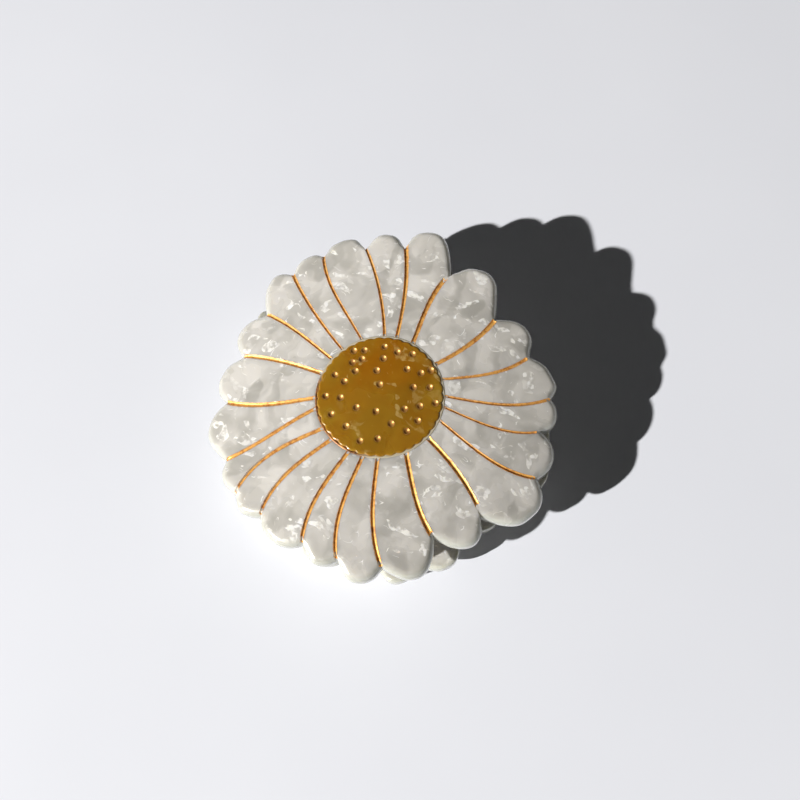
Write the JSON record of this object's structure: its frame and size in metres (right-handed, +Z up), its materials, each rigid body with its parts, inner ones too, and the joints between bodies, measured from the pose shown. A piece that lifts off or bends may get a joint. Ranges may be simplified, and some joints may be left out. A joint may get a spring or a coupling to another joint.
{
  "type": "flower hair clip",
  "caption": "Claw hair clip with bowed daisy jaws of thick pearl acetate, inlaid amber centre discs, inner tooth combs and a sprung hinge.",
  "frame": {"origin": "centre of the flat crown of the back disc, which the clip lies on", "axes": "+Z up through the front flower, +X along the hinge, +Y towards the finger end; the teeth are at -Y"},
  "size_m": [0.0762, 0.0761, 0.0248],
  "materials": {
    "pearl_white": "white mother-of-pearl cellulose acetate, tumbled glossy, engraved lines painted gold",
    "amber": "amber pearl cellulose acetate, glossy, drilled dimples painted gold",
    "steel": "bright drawn spring steel"
  },
  "bodies": {
    "back_jaw": {"back_flower": "pearl_white", "back_disc": "amber", "back_comb": "pearl_white", "back_lug_left": "pearl_white", "back_lug_right": "pearl_white", "back_spring_seat": "pearl_white", "hinge_pin": "steel", "pin_cap": "steel", "hinge_spring": "steel"},
    "front_jaw": {"front_flower": "pearl_white", "front_disc": "amber", "front_comb": "pearl_white", "front_lug_left": "pearl_white", "front_lug_right": "pearl_white", "front_spring_seat": "pearl_white"}
  },
  "joints": [
    {"name": "jaw_hinge", "type": "hinge", "parent": "back_jaw", "child": "front_jaw", "pos_m": [0, 0.01198, 0.01208], "axis": [-1, 0, 0], "range_deg": [0, 26], "stiffness_Nm_per_rad": 0.12, "springref_deg": -34.38, "deforming": ["hinge_spring"]}
  ]
}
